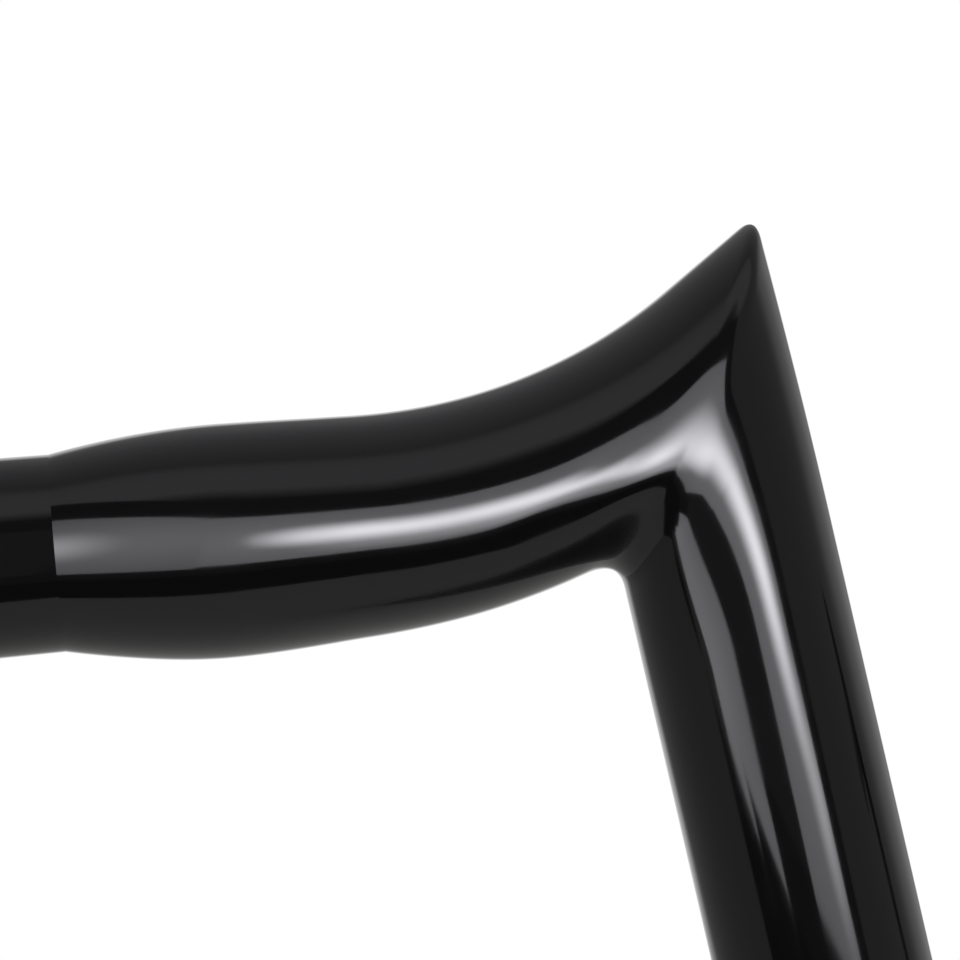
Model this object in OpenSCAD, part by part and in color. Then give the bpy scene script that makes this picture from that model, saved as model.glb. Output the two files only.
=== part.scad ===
// Ape hanger handlebar: a weldment of round steel tubes, symmetric about X = 0.
// The origin is the middle of the clamp tube, +X is the rider's right, +Y is ahead and +Z is up.

/* [Tubes] */
// Outside diameter of the two risers and the two arms
fat_d = 30; // [28:0.5:34]
// Wall of the risers and arms
fat_wall = 2; // [1.5:0.25:2.5]
// Outside diameter of the clamp tube and the grip tubes
slim_d = 25.4; // [22:0.1:25.4]
// Wall of the clamp tube and the grip tubes
slim_wall = 3; // [2:0.25:4]
// Amount by which a slim tube's spigot is turned down, so that its nose ends flush
spigot_cut = 0.4; // [0.3:0.05:0.8]
// Gap all round a spigot inside the nose that holds it
seat_gap = 0.05; // [0.02:0.01:0.1]
// Amount by which a fat tube's radius draws in round its bends
bend_draw = 0.1; // [0.05:0.05:0.3]

/* [Clamp] */
// Bare length of the clamp tube between the two riser noses
clamp_len = 124; // [110:1:180]
// Length of the spigot at each end of the clamp tube
clamp_spigot = 19; // [10:1:22]

/* [Risers] */
// Height of the corner's centre above the clamp tube's axis
rise = 315; // [200:5:420]
// Lean of each riser away from upright, outwards
riser_lean = 13; // [5:0.5:20]
// Centreline radius of the bend at the foot of each riser
foot_bend_r = 63.5; // [50:0.5:90]
// Straight length between a riser's shoulder and its foot bend
foot_run = 2; // [0.5:0.5:30]

/* [Corners] */
// Angle between the riser and the arm where their axes cross
corner_angle = 63; // [55:0.5:75]
// Turn of each arm about its riser, towards the rider
arm_yaw = 6; // [0:0.5:20]
// Radius of the ground weld in the inner corner
weld_r = 3; // [2:0.25:5]

/* [Arms] */
// Centreline radius of the arm's bend
arm_bend_r = 92; // [80:1:120]
// Angle through which the arm bends
arm_bend_angle = 36.5; // [25:0.5:45]
// Length by which the bend starts on the tip's side of the corner's centre
bend_lead = 7; // [1:0.5:10]
// Roll of the bend's plane about the arm's own axis
arm_roll = 16.5; // [0:0.5:25]
// Straight length of full diameter between the arm's bend and its shoulder
arm_run = 17; // [8:1:60]

/* [Noses] */
// Length of the rounded shoulder from full diameter to the nose's end
nose_len = 22; // [14:1:30]

/* [Grips] */
// Bare length of each grip tube beyond its nose
grip_len = 190; // [150:5:240]
// Length of each grip tube's spigot inside its arm
grip_spigot = 25; // [15:1:25]

/* [Hidden] */
$fn = 64;
paint = "#101012";

fat_r = fat_d / 2;
fat_bore_r = fat_r - fat_wall;
slim_r = slim_d / 2;
spigot_r = slim_r - spigot_cut;
seat_r = spigot_r + seat_gap;

// The shoulder is a circular arc that runs out square to the full diameter
shoulder_drop = fat_r - slim_r;
shoulder_r = (nose_len ^ 2 + shoulder_drop ^ 2) / (2 * shoulder_drop);
shoulder_steps = 10;

foot_turn = 90 - riser_lean;
foot_x = clamp_len / 2 + nose_len + foot_run;
riser_run = (rise - foot_bend_r * (1 - cos(foot_turn))) / sin(foot_turn);
corner_x = foot_x + foot_bend_r * sin(foot_turn) + riser_run * cos(foot_turn);

// In the corner's own frame the riser hangs down -Z and +X points outwards
tip_z = fat_r / tan(corner_angle / 2);
bend_centre_x = arm_bend_r * cos(corner_angle) - bend_lead * sin(corner_angle);
bend_centre_z = arm_bend_r * sin(corner_angle) + bend_lead * cos(corner_angle);
inner_z = bend_centre_z
    - sqrt((arm_bend_r + fat_r) ^ 2 - (bend_centre_x - fat_r) ^ 2);
// The mitre runs from the tip of the corner to the inner corner
mitre_angle = atan(fat_d / (tip_z - inner_z));
// Length past the corner that each tube has before the mitre cuts it
overrun = 2 * fat_d;
// Side of the block that takes away the tube past the mitre
cut_size = 6 * fat_d;
// Length by which a cutting shape stands past the face that it cuts
cut_margin = 1;
// Length by which a straight tube runs on over the end of its bend
bend_lap = 1;

// The weld lies in the inner corner, between these angles round the riser's axis
weld_reach = 60;
weld_stations = 24;
weld_arc_steps = 6;
// Gap between the weld and the tubes it joins
weld_gap = 0.05;
// Height of the weld's blunt edges above the tubes
weld_toe = 0.2;

// The arm's direction, and the directions in and square to its bend, in the corner's own frame
arm_way = [sin(corner_angle), 0, -cos(corner_angle)];
arm_rise = [cos(corner_angle), 0, sin(corner_angle)];
bend_way = cos(arm_roll) * arm_rise - sin(arm_roll) * [0, 1, 0];
bend_normal = sin(arm_roll) * arm_rise + cos(arm_roll) * [0, 1, 0];
bend_centre = arm_bend_r * bend_way - bend_lead * arm_way;

function bend_end(r, turn) = [r * sin(turn), 0, r * (1 - cos(turn))];

// A rod along +X from the origin
module rod(length, r) {
    rotate([0, 90, 0]) cylinder(h = length, r = r);
}

// A bent rod that leaves the origin along +X and curves towards +Z
module bent_rod(bend_r, turn, r) {
    translate([0, 0, bend_r]) rotate([0, 90, -90])
        rotate_extrude(angle = turn) translate([bend_r, 0]) circle(r = r - bend_draw);
}

// Moves its children to the end of such a bend
module after_bend(bend_r, turn) {
    translate(bend_end(bend_r, turn)) rotate([0, -turn, 0]) children();
}

// A straight end that starts on the origin and narrows to its nose along +X
module nosed_rod(run) {
    turn_step = asin(nose_len / shoulder_r) / shoulder_steps;
    rotate([0, 90, 0]) rotate_extrude() polygon(concat(
        [[0, 0], [fat_r, 0]],
        [for (i = [0:shoulder_steps]) [
            fat_r - shoulder_r * (1 - cos(i * turn_step)),
            run + shoulder_r * sin(i * turn_step)]],
        [[0, run + nose_len]]));
}

// The outside of a riser, on past its corner
module riser_body() {
    translate([foot_x + bend_lap, 0, 0]) rotate([0, 180, 0])
        nosed_rod(bend_lap + foot_run);
    translate([foot_x, 0, 0]) {
        bent_rod(foot_bend_r, foot_turn, fat_r);
        after_bend(foot_bend_r, foot_turn) translate([-bend_lap, 0, 0])
            rod(bend_lap + riser_run + overrun, fat_r);
    }
}

// The bore of a riser, with the seat of the clamp tube
module riser_bore() {
    bore_start = clamp_len / 2 + clamp_spigot;
    translate([clamp_len / 2 - cut_margin, 0, 0])
        rod(clamp_spigot + 2 * cut_margin, seat_r);
    translate([bore_start, 0, 0]) rod(foot_x + bend_lap - bore_start, fat_bore_r);
    translate([foot_x, 0, 0]) {
        bent_rod(foot_bend_r, foot_turn, fat_bore_r);
        after_bend(foot_bend_r, foot_turn) translate([-bend_lap, 0, 0])
            rod(bend_lap + riser_run + overrun + cut_margin, fat_bore_r);
    }
}

// The nearest point of the arm's bent axis to a point of the corner's own frame
function arm_axis_point(p) =
    let (from_centre = p - bend_centre,
        in_plane = from_centre - (from_centre * bend_normal) * bend_normal)
    bend_centre + arm_bend_r * in_plane / norm(in_plane);

function arm_distance(p) = norm(p - arm_axis_point(p));

// A point at radius r from the riser's axis
function riser_point(r, angle, z) = [r * cos(angle), r * sin(angle), z];

// The height, between low and high, at which a point beside the riser is r away from the arm
function meeting_z(riser_r, arm_r, angle, low, high, steps = 30) =
    let (middle = (low + high) / 2)
    steps == 0 ? middle :
    arm_distance(riser_point(riser_r, angle, middle)) > arm_r
        ? meeting_z(riser_r, arm_r, angle, middle, high, steps - 1)
        : meeting_z(riser_r, arm_r, angle, low, middle, steps - 1);

// The point under the arm where surfaces that stand off both tubes by gap cross
function crossing(gap, angle) =
    let (riser_r = fat_r + gap, arm_r = fat_r - bend_draw + gap,
        top = -riser_r * cos(angle) / tan(corner_angle))
    riser_point(riser_r, angle, meeting_z(riser_r, arm_r, angle, -2 * fat_d, top));

// A point moved square to the arm's axis until it stands off the arm by gap
function onto_arm(p, gap) =
    let (axis_point = arm_axis_point(p))
    axis_point + (fat_r - bend_draw + gap) * (p - axis_point) / norm(p - axis_point);

// A point moved square to the riser's axis until it stands off the riser by gap
function onto_riser(p, gap) =
    let (across = [p.x, p.y, 0])
    [0, 0, p.z] + (fat_r + gap) * across / norm(across);

// One section of the weld: a ground hollow between the tubes, then back along their walls
function weld_section(angle) =
    let (ball = crossing(weld_r, angle),
        root = crossing(weld_gap, angle),
        riser_toe = onto_riser(ball, weld_gap),
        arm_toe = onto_arm(ball, weld_gap),
        from = (riser_toe - ball) / norm(riser_toe - ball),
        to = (arm_toe - ball) / norm(arm_toe - ball),
        opening = acos(from * to))
    concat(
        [for (i = [0:weld_arc_steps])
            let (share = i / weld_arc_steps)
            ball + (weld_r - weld_toe)
                * (sin((1 - share) * opening) * from + sin(share * opening) * to)
                / sin(opening)],
        [arm_toe, root, riser_toe]);

// Moves its children from the corner's own frame to the bar's right corner
module at_corner() {
    translate([corner_x, 0, rise]) rotate([0, riser_lean, 0])
        rotate([0, 0, -arm_yaw]) children();
}

// The half of space on the arm's side of the mitre, or with side = -1 on the riser's
module mitre_block(side) {
    at_corner() translate([-fat_r, 0, tip_z]) rotate([0, -mitre_angle, 0])
        translate([side * cut_size / 2, 0, -cut_size / 4])
            cube([cut_size, cut_size, 2 * cut_size], center = true);
}

// Moves its children to where the arm's axis crosses the corner, with +X along the arm
module along_arm() {
    at_corner() rotate([0, 90 - corner_angle, 0]) rotate([arm_roll, 0, 0]) children();
}

// Moves its children to the end of the arm's bend
module past_arm_bend() {
    along_arm() translate([-bend_lead, 0, 0]) after_bend(arm_bend_r, arm_bend_angle) children();
}

// The outside of an arm, on past its corner
module arm_body() {
    along_arm() {
        translate([-overrun, 0, 0]) rod(overrun - bend_lead + bend_lap, fat_r);
        translate([-bend_lead, 0, 0]) bent_rod(arm_bend_r, arm_bend_angle, fat_r);
    }
    past_arm_bend() translate([-bend_lap, 0, 0]) nosed_rod(bend_lap + arm_run);
}

// The bore of an arm, with the seat of the grip tube
module arm_bore() {
    seat_start = arm_run + nose_len - grip_spigot;
    along_arm() {
        translate([-overrun - cut_margin, 0, 0])
            rod(overrun + cut_margin - bend_lead + bend_lap, fat_bore_r);
        translate([-bend_lead, 0, 0]) bent_rod(arm_bend_r, arm_bend_angle, fat_bore_r);
    }
    past_arm_bend() {
        translate([-bend_lap, 0, 0]) rod(bend_lap + seat_start, fat_bore_r);
        translate([seat_start - cut_margin, 0, 0])
            rod(grip_spigot + 2 * cut_margin, seat_r);
    }
}

// A slim tube whose bare length runs along +X from the origin, with a spigot before and after it
module slim_tube(bare, near_spigot, far_spigot) {
    length = near_spigot + bare + far_spigot;
    difference() {
        union() {
            rod(bare, slim_r);
            translate([-near_spigot, 0, 0]) rod(length, spigot_r);
        }
        translate([-near_spigot - cut_margin, 0, 0])
            rod(length + 2 * cut_margin, slim_r - slim_wall);
    }
}

module clamp_tube() {
    color(paint) translate([-clamp_len / 2, 0, 0])
        slim_tube(clamp_len, clamp_spigot, clamp_spigot);
}

module riser() {
    color(paint) difference() {
        riser_body();
        riser_bore();
        mitre_block(1);
    }
}

module arm() {
    color(paint) difference() {
        arm_body();
        arm_bore();
        mitre_block(-1);
    }
}

module grip_tube() {
    color(paint) past_arm_bend() translate([arm_run + nose_len, 0, 0])
        slim_tube(grip_len, grip_spigot, 0);
}

module corner_weld() {
    sections = [for (i = [0:weld_stations])
        weld_section(weld_reach * (2 * i / weld_stations - 1))];
    ring = len(sections[0]);
    root = weld_arc_steps + 2;
    sides = [for (i = [0:weld_stations - 1], j = [0:ring - 1])
        let (a = i * ring, b = a + ring, k = (j + 1) % ring)
        each [[a + j, a + k, b + j], [a + k, b + k, b + j]]];
    // Each end is a fan of triangles about the root of the weld
    fan = [for (j = [1:ring - 2]) [root, (root + j) % ring, (root + j + 1) % ring]];
    last = weld_stations * ring;
    first_end = [for (t = fan) [t[0], t[2], t[1]]];
    last_end = [for (t = fan) [last + t[0], last + t[1], last + t[2]]];
    color(paint) at_corner()
        polyhedron([for (section = sections) each section],
            concat(sides, first_end, last_end));
}

module mirrored() {
    mirror([1, 0, 0]) children();
}

clamp_tube();
mirrored() riser();  // left_riser
riser();  // right_riser
mirrored() arm();  // left_arm
arm();  // right_arm
mirrored() grip_tube();  // left_grip_tube
grip_tube();  // right_grip_tube
mirrored() corner_weld();  // left_corner_weld
corner_weld();  // right_corner_weld
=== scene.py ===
# %% [markdown]
# # An ape hanger handlebar
# The bar is a weldment of round steel tubes under one coat of gloss black paint. Two tall risers
# stand on a thin clamp tube. At the top of each riser an arm is mitred to it, bends, narrows in a
# rounded shoulder and holds a thinner tube for the rider's grip.
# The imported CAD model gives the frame, so we load it first and measure its box.

# %% Load the frame
import math

import bmesh
import bpy
from mathutils import Matrix, Vector


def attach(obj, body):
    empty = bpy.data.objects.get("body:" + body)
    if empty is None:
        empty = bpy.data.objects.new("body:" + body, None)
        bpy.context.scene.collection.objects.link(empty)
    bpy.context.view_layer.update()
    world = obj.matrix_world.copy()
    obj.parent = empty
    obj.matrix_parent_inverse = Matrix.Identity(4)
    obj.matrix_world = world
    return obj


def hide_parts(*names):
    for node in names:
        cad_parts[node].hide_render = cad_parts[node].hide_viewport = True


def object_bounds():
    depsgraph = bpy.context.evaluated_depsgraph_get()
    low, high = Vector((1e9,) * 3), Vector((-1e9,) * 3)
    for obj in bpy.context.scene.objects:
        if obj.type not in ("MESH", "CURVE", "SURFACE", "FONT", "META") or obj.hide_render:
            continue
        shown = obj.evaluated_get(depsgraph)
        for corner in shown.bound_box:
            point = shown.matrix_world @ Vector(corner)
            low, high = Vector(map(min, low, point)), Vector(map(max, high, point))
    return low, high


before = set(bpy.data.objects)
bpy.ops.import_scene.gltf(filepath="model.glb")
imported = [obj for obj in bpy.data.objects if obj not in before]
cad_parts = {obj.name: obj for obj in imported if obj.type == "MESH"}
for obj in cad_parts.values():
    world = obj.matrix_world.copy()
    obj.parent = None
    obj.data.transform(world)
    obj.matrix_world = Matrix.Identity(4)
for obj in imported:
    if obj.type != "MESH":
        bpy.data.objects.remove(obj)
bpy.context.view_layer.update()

# %% [markdown]
# ## The bar's own dimensions
# All sizes are in metres. They are the same few numbers that drive the CAD model, and everything
# else follows from them. The fat tubes of the risers and arms are 30 mm across. The thin tubes of
# the clamp and the grips are 25.4 mm, which is one inch, the usual size for clamps and grips.

# %% Driving dimensions
MM = 0.001
fat_r, fat_bore_r = 15.0 * MM, 13.0 * MM
slim_r, slim_bore_r = 12.7 * MM, 9.7 * MM
seat_r = 12.35 * MM
spigot_r = 12.3 * MM
clamp_length, clamp_spigot = 124 * MM, 19 * MM
rise, lean = 315 * MM, math.radians(13)
foot_bend_r, foot_run = 63.5 * MM, 2 * MM
corner_angle, arm_yaw = math.radians(63), math.radians(6)
arm_bend_r, arm_bend_angle = 92 * MM, math.radians(36.5)
bend_lead, arm_roll, arm_run = 7 * MM, math.radians(16.5), 17 * MM
nose_length = 22 * MM
grip_length, grip_spigot = 190 * MM, 25 * MM

foot_turn = math.pi / 2 - lean
foot_x = clamp_length / 2 + nose_length + foot_run
riser_run = (rise - foot_bend_r * (1 - math.cos(foot_turn))) / math.sin(foot_turn)
corner_x = foot_x + foot_bend_r * math.sin(foot_turn) + riser_run * math.cos(foot_turn)
print(f"corner at x = {corner_x / MM:.1f} mm, riser straight {riser_run / MM:.1f} mm")

# %% [markdown]
# ## The camera
# It stands on the rider's side, close to the left corner, at the height of the corner, and looks
# ahead along the bike through a long lens. Its place comes from matching the bar's outline.

# %% Camera
scene = bpy.context.scene
camera = bpy.data.objects.new("camera", bpy.data.cameras.new("camera"))
camera.data.sensor_width = 36
camera.data.lens = 77
camera.data.clip_start = 0.02
scene.collection.objects.link(camera)
camera_spot = Vector((-0.24656, -0.28572, 0.30565))
look_ahead = Matrix.Rotation(math.pi / 2, 4, "X")
small_turn = Vector((0.340, -0.105, 1.550))  # the axis, as long as the angle in degrees
tilt = Matrix.Rotation(math.radians(small_turn.length), 4, small_turn.normalized())
camera.matrix_world = Matrix.Translation(camera_spot) @ tilt.inverted() @ look_ahead
scene.camera = camera
print("camera at", tuple(camera_spot))

# %% [markdown]
# ## Paint
# The finish is gloss black powder coat on steel. The powder is sprayed on dry and melted into one
# thick glossy film. First come three helpers: one turns a colour that is written as on a paint
# card into the linear values Blender works with, one adds a node with its settings and links, and
# one starts a material with an empty node tree.

# %% Colours and one small node function
def from_hex(text):
    """The linear colour of an sRGB hex value."""
    parts = [int(text[i:i + 2], 16) / 255 for i in (1, 3, 5)]
    return [p / 12.92 if p < 0.04045 else ((p + 0.055) / 1.055) ** 2.4 for p in parts] + [1]


def add_node(tree, kind, settings=None, **inputs):
    """Adds a node with its settings; each input is a value or another node's output."""
    node = tree.nodes.new(kind)
    for name, value in (settings or {}).items():
        setattr(node, name, value)
    for name, value in inputs.items():
        socket = node.inputs[int(name[1:]) if name[1:].isdigit() else name.replace("_", " ")]
        if isinstance(value, bpy.types.NodeSocket):
            tree.links.new(value, socket)
        else:
            socket.default_value = value
    return node


def new_material(name):
    material = bpy.data.materials.new(name)
    material.use_nodes = True
    material.node_tree.nodes.clear()
    return material, material.node_tree


POWDER_BLACK = "#0B0B0D"
print("powder black in linear values:", [round(value, 4) for value in from_hex(POWDER_BLACK)])

# %% [markdown]
# The film flows out smooth, but keeps a faint orange peel a few millimetres across, and the bent
# steel under it is not perfectly round, so the reflections wander a little. The peel is about a
# thousandth of a millimetre high and the wander less than a tenth. Both are too low to model, so
# they are noise in the shader's normal. A third noise makes patches of the gloss a little duller.
# The colour is an almost neutral black.

# %% Gloss black powder coat
def powder_coat():
    material, tree = new_material("gloss_black_powder_coat")
    peel_size, wander_size, haze_size = 2.2 * MM, 26 * MM, 9 * MM
    peel_height, wander_share = 0.0015 * MM, 60.0
    place = add_node(tree, "ShaderNodeTexCoord").outputs["Object"]
    peel = add_node(tree, "ShaderNodeTexNoise", Vector=place, Scale=1 / peel_size, Detail=1.5,
                    Roughness=0.5)
    wander = add_node(tree, "ShaderNodeTexNoise", Vector=place, Scale=1 / wander_size, Detail=0.0)
    height = add_node(tree, "ShaderNodeMath", {"operation": "MULTIPLY_ADD"},
                      _0=wander.outputs["Fac"], _1=wander_share, _2=peel.outputs["Fac"])
    bump = add_node(tree, "ShaderNodeBump", Strength=1.0, Distance=peel_height,
                    Height=height.outputs[0])
    haze = add_node(tree, "ShaderNodeTexNoise", Vector=place, Scale=1 / haze_size, Detail=3.0)
    rough = add_node(tree, "ShaderNodeMapRange", Value=haze.outputs["Fac"],
                     From_Min=0.3, From_Max=0.7, To_Min=0.06, To_Max=0.11)
    shader = add_node(tree, "ShaderNodeBsdfPrincipled", Base_Color=from_hex(POWDER_BLACK),
                      Roughness=rough.outputs[0], IOR=1.5, Normal=bump.outputs[0])
    add_node(tree, "ShaderNodeOutputMaterial", Surface=shader.outputs[0])
    return material


paint = powder_coat()
print("finish:", paint.name)

# %% [markdown]
# ## Pipes
# Every piece of the bar is a pipe. A pipe starts as one circle. Extruding the circle again and
# again along +X, and scaling each new ring, gives a straight pipe with any profile. Going out along
# the outside and back along the bore closes the wall. The straight pipe is bent afterwards, as in
# the workshop, and this keeps the rings even where a swept curve would pinch them at the corner.

# %% Make a straight pipe from (place, radius) stations
SIDES = 160


def straight_pipe(stations):
    """A closed ring-shaped wall: one ring a station, the last one joined to the first."""
    bm = bmesh.new()
    (x, r), *rest = stations
    first = bmesh.ops.create_circle(
        bm, segments=SIDES, radius=r,
        matrix=Matrix.Translation((x, 0, 0)) @ Matrix.Rotation(math.pi / 2, 4, "Y"))["verts"]
    first_edges = bm.edges[:]
    edges = first_edges
    for next_x, next_r in rest:
        made = bmesh.ops.extrude_edge_only(bm, edges=edges)["geom"]
        ring = [g for g in made if isinstance(g, bmesh.types.BMVert)]
        edges = [g for g in made if isinstance(g, bmesh.types.BMEdge)]
        bmesh.ops.scale(bm, verts=ring, vec=(1, next_r / r, next_r / r))
        bmesh.ops.translate(bm, verts=ring, vec=(next_x - x, 0, 0))
        x, r = next_x, next_r
    bmesh.ops.bridge_loops(bm, edges=first_edges + edges)
    return bm


def steps(start, end, step):
    """Evenly spaced places from start to end, both kept."""
    count = max(1, math.ceil(abs(end - start) / step))
    return [start + (end - start) * i / count for i in range(count + 1)]


def finish_piece(bm, name, nodes):
    """Turns a bmesh in its place into a painted piece that stands for CAD nodes."""
    bmesh.ops.remove_doubles(bm, verts=bm.verts, dist=0.001 * MM)
    bmesh.ops.recalc_face_normals(bm, faces=bm.faces)
    for face in bm.faces:
        face.smooth = True
    mesh = bpy.data.meshes.new(name)
    bm.to_mesh(mesh)
    bm.free()
    mesh.set_sharp_from_angle(angle=math.radians(35))
    piece = bpy.data.objects.new(name, mesh)
    scene.collection.objects.link(piece)
    mesh.materials.append(paint)
    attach(piece, "root")
    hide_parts(*nodes)
    print(name, "has", len(mesh.polygons), "faces")
    return piece


print("a pipe has", SIDES, "sides")

# %% [markdown]
# ## Where the half bar runs
# The half bar is first a straight pipe, measured by the length of its centreline from the foot's
# nose. These functions say where a point of that straight pipe lies once it is bent: round the
# foot, up the riser to the corner, and along the arm. Three small faults of a bent and swaged tube
# are kept, because they show in the reflections. Inside the bend the tube is a little thinner in
# the bend's plane, the swaged end sags by a third of a millimetre, and the edge of its nose is not
# quite square to the tube.

# %% Bend functions
foot_start = nose_length + foot_run
riser_start = foot_start + foot_bend_r * foot_turn
corner_at = riser_start + riser_run
bend_start = corner_at - bend_lead
bend_end = bend_start + arm_bend_r * arm_bend_angle
nose_at = bend_end + arm_run
half_length = nose_at + nose_length
swage_at = nose_at - 8 * MM
round_again = 1.25 * (bend_end - bend_start)  # the flattening is gone a little past the bend
flattening = 0.074
sag, sag_reach = 0.35 * MM, 16 * MM
nose_slant, slant_reach = 0.13, 18 * MM  # the nose edge leans 0.13 mm for each mm across

at_corner = (Matrix.Translation((corner_x, 0, rise)) @ Matrix.Rotation(lean, 4, "Y")
             @ Matrix.Rotation(-arm_yaw, 4, "Z"))
to_arm = (at_corner @ Matrix.Rotation(math.pi / 2 - corner_angle, 4, "Y")
          @ Matrix.Rotation(arm_roll, 4, "X"))


def limited(share):
    """The share, kept between 0 and 1."""
    return min(max(share, 0), 1)


def eased(share):
    """A share from 0 to 1 that starts and ends gently."""
    return share ** 2 * (3 - 2 * share)


def round_bend(along, y, z, bend_r, turn):
    """A point of a pipe that leaves the origin along +X and curves towards +Z."""
    angle = min(max(along / bend_r, 0), turn)
    beyond = along - angle * bend_r
    reach = bend_r - z
    return Vector((reach * math.sin(angle) + beyond * math.cos(angle), y,
                   bend_r - reach * math.cos(angle) + beyond * math.sin(angle)))


def riser_point(along, y, z):
    """From the foot's nose over the foot bend and up the riser."""
    twist = -arm_yaw * along / corner_at
    y, z = y * math.cos(twist) - z * math.sin(twist), y * math.sin(twist) + z * math.cos(twist)
    point = round_bend(along - foot_start, y, z, foot_bend_r, foot_turn)
    return point + Vector((clamp_length / 2 + foot_start, 0, 0))


def arm_point(along, y, z):
    """From the corner over the arm's bend to its nose."""
    along -= nose_slant * y * limited(1 - abs(along - half_length) / slant_reach)
    y, z = (y * math.cos(arm_roll) + z * math.sin(arm_roll),
            z * math.cos(arm_roll) - y * math.sin(arm_roll))
    rounder = eased(limited((along - bend_start) / round_again)) ** (1 if z > 0 else 2)
    z *= 1 - flattening * (1 - rounder)
    z -= sag * math.exp(-((along - nose_at) / sag_reach) ** 2)
    point = round_bend(along - bend_start, y, z, arm_bend_r, arm_bend_angle)
    return to_arm @ (point - Vector((bend_lead, 0, 0)))


print(f"half bar {half_length / MM:.1f} mm long, corner at {corner_at / MM:.1f} mm")

# %% [markdown]
# ## The mitre
# Both tubes are cut on one slanting plane and welded there. Each line along the pipe meets that
# plane at its own length, so the rings lean over bit by bit until the last one lies in the plane.
# The two tubes don't match exactly, so the shared ring is half way between them. Averaging each
# line over a window rounds the corner. A short window keeps the ridge at the tip crisp, and a long
# one makes the ground weld's hollow in the inner corner. On the flanks the window grows along the
# arm, and the weld stands up to a millimetre proud there, where the grinder left it.

# %% Mitre functions
thin_r = fat_r * (1 - flattening)
tip_along = (fat_r + thin_r * math.cos(corner_angle)) / math.sin(corner_angle)
tip = Vector((-fat_r, 0, tip_along * math.cos(corner_angle) + thin_r * math.sin(corner_angle)))
bend_centre_x = arm_bend_r * math.cos(corner_angle) - bend_lead * math.sin(corner_angle)
bend_centre_z = arm_bend_r * math.sin(corner_angle) + bend_lead * math.cos(corner_angle)
inner = Vector((fat_r, 0, bend_centre_z - math.sqrt(
    (arm_bend_r + thin_r) ** 2 - (bend_centre_x - fat_r) ** 2)))
mitre_normal = at_corner.to_3x3() @ (inner - tip).cross(Vector((0, 1, 0))).normalized()
mitre_spot = at_corner @ tip
lean_reach = 56 * MM
match_reach = 30 * MM
tip_pull = at_corner.to_3x3() @ Vector((0.75 * MM, 0, -0.3 * MM))
weld_build = at_corner.to_3x3() @ Vector((0, 1.0 * MM, 0))
build_side, build_spread = 0.28, 0.16  # shares toward the tip
build_at, build_reach = corner_at + 4 * MM, 13 * MM
tip_round, flank_round, inner_round = 1.6 * MM, 8 * MM, 7 * MM
flank_side, flank_spread = 0.34, 0.17  # shares toward the tip
flank_growth, growth_reach = 16 * MM, 24 * MM
closing = 1.2  # windows from full averaging to none
samples_each_way = 14
meetings = {}  # found once for each line, because a search is slow


def meeting(point_at, y, z):
    """The length at which a line along the pipe meets the mitre plane."""
    key = point_at, round(y / MM, 4), round(z / MM, 4)
    if key not in meetings:
        low, high = corner_at - 60 * MM, corner_at + 60 * MM
        below = (point_at(low, y, z) - mitre_spot).dot(mitre_normal) < 0
        for _ in range(32):
            middle = (low + high) / 2
            if ((point_at(middle, y, z) - mitre_spot).dot(mitre_normal) < 0) == below:
                low = middle
            else:
                high = middle
        meetings[key] = (low + high) / 2
    return meetings[key]


def toward_tip(y, z):
    """1 on the tip's side of the pipe, 0 on the inner corner's side."""
    return (1 + z / math.hypot(y, z)) / 2


def bar_point(along, y, z):
    """Where a point of the straight pipe lies on the bent, mitred half bar."""
    before = along <= corner_at
    mine, other = (riser_point, arm_point) if before else (arm_point, riser_point)
    away = abs(along - corner_at)
    leaning = limited(1 - away / lean_reach)
    if not leaning:
        return mine(along, y, z)
    at_mitre = meeting(mine, y, z)
    point = mine(along + (at_mitre - corner_at) * leaning, y, z)
    share = limited(1 - away / match_reach)
    if share:
        gap = other(meeting(other, y, z), y, z) - mine(at_mitre, y, z)
        point += gap / 2 * eased(share)
        point += tip_pull * share ** 2 * toward_tip(y, z) ** 3
    return point


def rounded_point(along, y, z):
    """bar_point, averaged along the pipe where the corner is."""
    side = toward_tip(y, z)
    window = inner_round + (tip_round - inner_round) * side
    onto_arm = max(0, along - corner_at)
    on_flank = flank_round + flank_growth * (1 - math.exp(-onto_arm / growth_reach))
    window += (on_flank - window) * math.exp(-((side - flank_side) / flank_spread) ** 2)
    build = math.exp(-((side - build_side) / build_spread) ** 2
                     - ((along - build_at) / build_reach) ** 2)
    built = weld_build * math.copysign(build, y)
    fading = limited((abs(along - corner_at) / window - 1) / closing)
    if fading == 1:
        return bar_point(along, y, z) + built
    step = window * (1 - eased(fading)) / samples_each_way
    spots = [bar_point(along + step * number, y, z)
             for number in range(-samples_each_way, samples_each_way + 1)]
    return sum(spots, Vector()) / len(spots) + built


print("mitre tip, in metres, at", tuple(round(c, 4) for c in mitre_spot))

# %% [markdown]
# ## The half bar and its swaged end
# A shoulder is where the fat tube was swaged, that is squeezed down, to hold the thin tube: an arc
# from the full diameter to the thin one. One pipe runs from the foot's nose to just before the
# arm's shoulder, and a second pipe is the swaged end. Its seat is turned out for the grip tube. The
# rings stand close where a reflection would show a facet, and far apart on the straight riser.

# %% Stations of the half bar
shoulder_drop = fat_r - slim_r
shoulder_r = (nose_length ** 2 + shoulder_drop ** 2) / (2 * shoulder_drop)
swell, swell_reach = 0.4 * MM, 14 * MM
weld_reach = 12 * MM


def shoulder(distance):
    """The radius at a distance from where the full diameter ends."""
    return fat_r - shoulder_r + math.sqrt(shoulder_r ** 2 - distance ** 2)


def swollen(along):
    """The arm's radius: swaging upsets the tube, so it swells a little before the shoulder."""
    return fat_r + swell * math.exp(-((along - nose_at) / swell_reach) ** 2)


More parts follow.
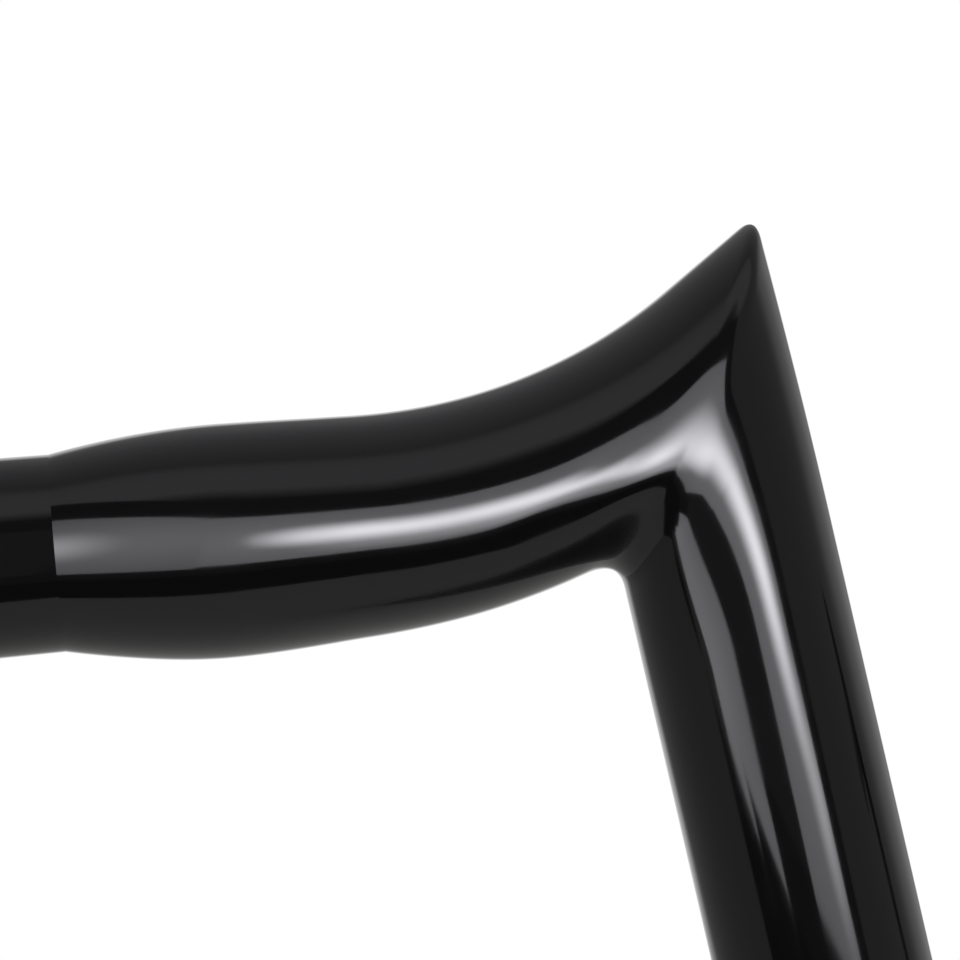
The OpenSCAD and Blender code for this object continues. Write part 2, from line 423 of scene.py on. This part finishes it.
def half_bar_stations():
    out = [(x, shoulder(nose_length - x)) for x in steps(0, nose_length, 1.5 * MM)]
    out += [(x, fat_r) for x in steps(foot_start, riser_start, 2.5 * MM)]
    out += [(x, fat_r) for x in steps(riser_start, corner_at - lean_reach, 12 * MM)[1:]]
    out += [(x, fat_r) for x in steps(corner_at - lean_reach, corner_at - weld_reach, 2.5 * MM)[1:]]
    out += [(x, fat_r) for x in steps(corner_at - weld_reach, corner_at + weld_reach, 0.5 * MM)[1:]]
    out += [(x, swollen(x)) for x in steps(corner_at + weld_reach, bend_end, 1.5 * MM)[1:]]
    out += [(x, swollen(x)) for x in steps(bend_end, swage_at, 0.5 * MM)[1:]]
    back = [(x, fat_bore_r) for x in steps(swage_at, foot_start, 5 * MM)]
    back += [(foot_start, seat_r), (0, seat_r)]
    return out + back


def swage_stations():
    out = [(x, swollen(x)) for x in steps(swage_at, nose_at, 0.5 * MM)]
    out += [(nose_at + x, shoulder(x) + swollen(nose_at + x) - fat_r)
            for x in steps(0, nose_length, 1.0 * MM)[1:]]
    back = [(half_length, seat_r), (half_length - grip_spigot, seat_r)]
    back += [(half_length - grip_spigot, fat_bore_r), (swage_at, fat_bore_r)]
    return out + back


print("rings:", len(half_bar_stations()), "in a half bar,", len(swage_stations()), "in its end")

# %% [markdown]
# Two helpers turn a row of stations into a pair of pieces. The first moves every vertex of the
# straight pipe to its place, and the second copies the right piece and mirrors it for the left.

# %% Bend and mirror a pipe
def bent(stations, point_at):
    """A straight pipe with every vertex moved to its place on the right half bar."""
    bm = straight_pipe(stations)
    for vert in bm.verts:
        vert.co = point_at(*vert.co)
    return bm


def both_sides(bm, name, nodes):
    """The left and the right piece, the left one mirrored."""
    pieces = []
    for side, hand in ((-1, "left"), (1, "right")):
        half = bm.copy()
        bmesh.ops.scale(half, verts=half.verts, vec=(side, 1, 1))
        pieces.append(finish_piece(half, f"{hand}_{name}", [f"{hand}_{node}" for node in nodes]))
    bm.free()
    return pieces

# %% Half bars and swaged ends
both_sides(bent(half_bar_stations(), rounded_point), "riser_and_arm", ["riser", "corner_weld"])
swages = both_sides(bent(swage_stations(), arm_point), "swaged_end", ["arm"])

# %% [markdown]
# ## Grip tubes and clamp tube
# The thin tubes are left open, with a small chamfer where the saw cut was dressed. Each grip tube
# starts as a thinner spigot inside the swaged end and grows to its full diameter at the nose, so
# the nose's edge stands as a crisp line on it.

# %% Grip tubes
chamfer = 0.6 * MM
seat_play = 0.05 * MM
grip_start = half_length - grip_spigot
grip_end = half_length + grip_length


def grip_stations():
    return [(grip_start, spigot_r), (half_length - seat_play, spigot_r),
            (half_length - seat_play, slim_r), (grip_end - chamfer, slim_r),
            (grip_end, slim_r - chamfer), (grip_end, slim_bore_r + chamfer),
            (grip_end - chamfer, slim_bore_r), (grip_start, slim_bore_r)]


grips = both_sides(bent(grip_stations(), arm_point), "grip", ["grip_tube"])

# %% [markdown]
# The clamps close on the middle tube, so it carries two bands of diamond knurling. The grooves are
# sunk vertices. On each ring every fourth one is sunk, and from ring to ring the pattern moves on
# by one vertex, once forwards and once backwards, so the grooves cross in diamonds. They are 2 mm
# apart along the bar, a little coarser than on a real one, so that they show.

# %% Clamp tube
def clamp_bar():
    ends = clamp_length / 2
    far = ends + clamp_spigot
    band_start, band_end, pitch, depth = 30 * MM, 59 * MM, 0.5 * MM, 0.02
    knurled = steps(band_start, band_end, pitch)
    out = [(-x, slim_r) for x in reversed(knurled)] + [(x, slim_r) for x in knurled]
    bm = straight_pipe([
        (-far, spigot_r), (-ends, spigot_r), (-ends, slim_r), *out, (ends, slim_r),
        (ends, spigot_r), (far, spigot_r), (far, slim_bore_r), (-far, slim_bore_r)])
    for vert in bm.verts:
        x, y, z = vert.co
        ring = round((abs(x) - band_start) / pitch)
        spot = round(math.atan2(z, y) / (2 * math.pi) * SIDES)
        on_band = math.hypot(y, z) > spigot_r and 0 < ring < len(knurled) - 1
        if on_band and 0 in ((spot + ring) % 4, (spot - ring) % 4):
            vert.co = x, y * (1 - depth), z * (1 - depth)
    return finish_piece(bm, "clamp_bar", ["clamp_tube"])


clamp_bar()

# %% [markdown]
# ## The studio
# Gloss black paint shows only what it mirrors. The bar stands on a pale floor before a white
# background. The floor is a grey-white board that keeps the bar's shadow. For the camera it also
# glows a little, so that it looks pale. From 0.6 m out it glows more and more, also in
# reflections, until at about a metre it is as white as the background.

# %% Floor and world
floor_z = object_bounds()[0].z
WHITE, BOARD_GREY = "#FFFFFF", "#E9E9E7"
camera_lift = 0.55  # the share of glow that the camera sees near the bar
room_light = 0.55  # how strongly the white room lights the bar


def ray_share(tree):
    """1 for rays from the camera, in reflections and through glass, otherwise 0."""
    path = add_node(tree, "ShaderNodeLightPath")
    mirror = add_node(tree, "ShaderNodeMath", {"operation": "MAXIMUM"},
                      _0=path.outputs["Is Glossy Ray"], _1=path.outputs["Is Transmission Ray"])
    return add_node(tree, "ShaderNodeMath", {"operation": "MAXIMUM"},
                    _0=path.outputs["Is Camera Ray"], _1=mirror.outputs[0]).outputs[0]


def pale_floor():
    material, tree = new_material("pale_studio_floor")
    place = add_node(tree, "ShaderNodeTexCoord").outputs["Object"]
    far = add_node(tree, "ShaderNodeVectorMath", {"operation": "LENGTH"}, _0=place)
    edge = add_node(tree, "ShaderNodeMapRange", {"interpolation_type": "SMOOTHSTEP"},
                    Value=far.outputs["Value"], From_Min=0.6, From_Max=1.05)
    lift = add_node(tree, "ShaderNodeMath", {"operation": "MULTIPLY_ADD"},
                    _0=add_node(tree, "ShaderNodeLightPath").outputs["Is Camera Ray"],
                    _1=camera_lift, _2=edge.outputs[0])
    lift.use_clamp = True  # past 1 it could only be white
    white = add_node(tree, "ShaderNodeMath", {"operation": "MULTIPLY"},
                     _0=lift.outputs[0], _1=ray_share(tree))
    board = add_node(tree, "ShaderNodeBsdfDiffuse", Color=from_hex(BOARD_GREY))
    glow = add_node(tree, "ShaderNodeEmission", Color=from_hex(WHITE), Strength=1.0)
    mix = add_node(tree, "ShaderNodeMixShader", _0=white.outputs[0], _1=board.outputs[0],
                   _2=glow.outputs[0])
    add_node(tree, "ShaderNodeOutputMaterial", Surface=mix.outputs[0])
    return material


def add_stage(name, bm, material, seen_by_all=False):
    mesh = bpy.data.meshes.new(name)
    bm.to_mesh(mesh)
    bm.free()
    mesh.materials.append(material)
    thing = bpy.data.objects.new(name, mesh)
    scene.collection.objects.link(thing)
    if not seen_by_all:
        thing.visible_camera = thing.visible_diffuse = thing.visible_shadow = False
    return thing


floor_mesh = bmesh.new()
bmesh.ops.create_circle(floor_mesh, cap_ends=True, segments=64, radius=12,
                        matrix=Matrix.Translation((0, 0, floor_z)))
add_stage("floor", floor_mesh, pale_floor(), seen_by_all=True)

world = bpy.data.worlds.new("white_room")
world.use_nodes = True
world.node_tree.nodes.clear()
level = add_node(world.node_tree, "ShaderNodeMapRange", Value=ray_share(world.node_tree),
                 To_Min=room_light, To_Max=1.0)
back = add_node(world.node_tree, "ShaderNodeBackground", Color=from_hex(WHITE),
                Strength=level.outputs[0])
add_node(world.node_tree, "ShaderNodeOutputWorld", Surface=back.outputs[0])
scene.world = world
scene.view_settings.view_transform = "Standard"
print("floor at z =", floor_z)

# %% [markdown]
# Soft light panels hang in front of the bar, either side of the camera, against black cards. Each
# panel has soft bright cores, and these are the long highlights on the tubes. The panels and cards
# are seen by reflections alone. The thin grip tubes are shaded from the panels, and the swaged ends
# have a panel of their own, so light linking says which pieces each panel reaches.

# %% Light panels and cards
COOL_WHITE = "#FAFAFF"


def glowing(name, strength, *cores, see_through=0.0):
    """Emission with soft cores: each is (x, z, reach in x, reach in z, extra strength)."""
    material, tree = new_material(name)
    place = add_node(tree, "ShaderNodeTexCoord").outputs["Object"]
    light = add_node(tree, "ShaderNodeEmission", Color=from_hex(COOL_WHITE), Strength=strength)
    total = strength
    for x, z, reach_x, reach_z, extra in cores:
        moved = add_node(tree, "ShaderNodeMapping", Vector=place,
                         Location=(-x / reach_x, 0, -z / reach_z),
                         Scale=(1 / reach_x, 0, 1 / reach_z))
        far = add_node(tree, "ShaderNodeVectorMath", {"operation": "LENGTH"}, _0=moved.outputs[0])
        fade = add_node(tree, "ShaderNodeMapRange", {"interpolation_type": "SMOOTHSTEP"},
                        Value=far.outputs["Value"], To_Min=extra, To_Max=0.0)
        total = add_node(tree, "ShaderNodeMath", {"operation": "ADD"},
                         _0=fade.outputs[0], _1=total).outputs[0]
    if cores:
        tree.links.new(total, light.inputs["Strength"])
    clear = add_node(tree, "ShaderNodeBsdfTransparent",
                     Color=(see_through, see_through, see_through, 1))
    both = add_node(tree, "ShaderNodeAddShader", _0=light.outputs[0], _1=clear.outputs[0])
    add_node(tree, "ShaderNodeOutputMaterial", Surface=both.outputs[0])
    return material


def front(name, left, right, low, high, y, material, right_high=None):
    """An upright card that faces the bar; its top may slope to another height at the right."""
    bm = bmesh.new()
    bottom = bm.edges.new([bm.verts.new((x, y, low)) for x in (left, right)])
    made = bmesh.ops.extrude_edge_only(bm, edges=[bottom])["geom"]
    for vert in made:
        if isinstance(vert, bmesh.types.BMVert):
            vert.co.z = high if vert.co.x == bottom.verts[0].co.x else right_high or high
    return add_stage(name, bm, material)


panel_y = -0.35
right_panel = front("right_panel", -0.17, 0.05, 0.165, 0.455, panel_y, glowing(
    "right_panel_light", 2.1, (-0.03, 0.30, 0.35, 0.17, 0.9), (-0.047, 0.307, 0.083, 0.085, 17),
    (0.0, 0.235, 0.08, 0.07, 5.0), see_through=1.0))
left_panel = front("left_panel", -0.72, -0.335, 0.09, 0.50, panel_y, glowing(
    "left_panel_light", 2.3, (-0.56, 0.25, 0.25, 0.4, 1.1), see_through=1.0))
swage_panel = front("swage_panel", -0.345, -0.17, 0.155, 0.55, panel_y, glowing(
    "swage_panel_light", 1.6, (-0.25, 0.33, 0.40, 0.20, 1.0), (-0.325, 0.33, 0.09, 0.12, 4.5),
    see_through=1.0), right_high=0.46)
front("camera_gap", -0.345, -0.16, 0.17, 0.50, panel_y - 0.01, glowing("gap_cloth", 0.15))
front("black_card", -0.72, 0.16, 0.05, 0.63, panel_y - 0.02, glowing("black_card_cloth", 0.08))
front("tall_black_card", -0.50, -0.16, 0.60, 0.92, panel_y - 0.03,
      glowing("tall_card_cloth", 0.07), right_high=0.62)
front("low_black_card", -0.42, 0.06, floor_z, 0.15, -0.275, glowing("low_card_cloth", 0.04))
front("low_left_card", -0.75, -0.42, floor_z, 0.118, -0.275, glowing("low_left_cloth", 0.04))


def light_only(panel, things, state):
    """Links a panel to (INCLUDE) or away from (EXCLUDE) some pieces."""
    group = bpy.data.collections.new(panel.name + "_links")
    for thing in things:
        group.objects.link(thing)
    for entry in group.collection_objects:
        entry.light_linking.link_state = state
    panel.light_linking.receiver_collection = group


light_only(right_panel, grips, "EXCLUDE")
light_only(left_panel, grips, "EXCLUDE")
light_only(swage_panel, swages, "INCLUDE")
print("light panels:", right_panel.name, left_panel.name, swage_panel.name)

# %% [markdown]
# A dim grey tent closes the room round the bar. It is brightest high up in front, which gives the
# grey bands on top of the tubes, and open low down behind, where the white room shows along the
# tubes' lower edges.

# %% The dim tent round the bar
def tent_material():
    material, tree = new_material("grey_tent_cloth")
    place = add_node(tree, "ShaderNodeTexCoord").outputs["Object"]
    parts = add_node(tree, "ShaderNodeSeparateXYZ", Vector=place)
    fades = {}  # each row: its axis, where it starts and ends in metres, its values there
    for name, axis, start, end, low, high, curve in (
            ("depth", "Y", -0.8, 0.2, 0.0, 1.0, "LINEAR"),
            ("behind", "Y", 0.0, 0.1, 0.0, 1.0, "LINEAR"),
            ("rear", "Y", 0.1, 0.4, 0.0, 1.0, "SMOOTHSTEP"),
            ("rear_right", "X", 0.2, 0.5, 0.0, 0.24, "SMOOTHSTEP"),
            ("high_up", "Z", 0.45, 0.65, 0.0, 1.0, "SMOOTHSTEP"),
            ("low_down", "Z", 0.28, 0.42, 1.0, 0.0, "SMOOTHSTEP")):
        fades[name] = add_node(tree, "ShaderNodeMapRange", {"interpolation_type": curve},
                               Value=parts.outputs[axis], From_Min=start, From_Max=end,
                               To_Min=low, To_Max=high).outputs[0]
    ramp = add_node(tree, "ShaderNodeValToRGB", Fac=fades["depth"])
    shades = ((0.05, 0.12), (0.18, 0.60), (0.42, 0.58), (0.56, 0.50), (0.68, 0.29), (1.0, 0.34))
    points = ramp.color_ramp.elements
    while len(points) < len(shades):
        points.new(0.5)
    bluish = 0.96  # red and green, as a share of blue
    rear_grey = 0.28
    for point, (distance, shade) in zip(points, shades):
        point.position = distance
        point.color = (shade * bluish, shade * bluish, shade, 1)
    rear = add_node(tree, "ShaderNodeMath", {"operation": "MULTIPLY_ADD"},
                    _0=fades["rear"], _1=fades["rear_right"], _2=rear_grey)
    wall = add_node(tree, "ShaderNodeCombineColor", Red=rear.outputs[0], Green=rear.outputs[0],
                    Blue=rear.outputs[0])
    shade = add_node(tree, "ShaderNodeMix", {"data_type": "RGBA"}, _0=fades["high_up"],
                     _6=wall.outputs[0], _7=ramp.outputs[0])
    cloth = add_node(tree, "ShaderNodeEmission", Color=shade.outputs[2], Strength=1.0)
    clear = add_node(tree, "ShaderNodeBsdfTransparent")
    opening_x = -0.15
    offset = add_node(tree, "ShaderNodeMath", {"operation": "SUBTRACT"}, _0=parts.outputs["X"],
                      _1=opening_x)
    aside = add_node(tree, "ShaderNodeMath", {"operation": "ABSOLUTE"}, _0=offset.outputs[0])
    middle = add_node(tree, "ShaderNodeMapRange", {"interpolation_type": "SMOOTHSTEP"},
                      Value=aside.outputs[0], From_Min=0.32, From_Max=0.40, To_Min=1.0,
                      To_Max=0.0)
    open_low = add_node(tree, "ShaderNodeMath", {"operation": "MULTIPLY"},
                        _0=middle.outputs[0], _1=fades["low_down"])
    opening = add_node(tree, "ShaderNodeMath", {"operation": "MULTIPLY"},
                       _0=open_low.outputs[0], _1=fades["behind"])
    mix = add_node(tree, "ShaderNodeMixShader", _0=opening.outputs[0], _1=cloth.outputs[0],
                   _2=clear.outputs[0])
    add_node(tree, "ShaderNodeOutputMaterial", Surface=mix.outputs[0])
    return material


tent = bmesh.new()
bmesh.ops.create_uvsphere(tent, u_segments=48, v_segments=24, radius=1)
bmesh.ops.scale(tent, verts=tent.verts, vec=(0.64, 1.05, 1.05))
tent = add_stage("grey_tent", tent, tent_material())
tent.location = (0, 0, 0.3)
print("tent round the bar:", tuple(tent.location))
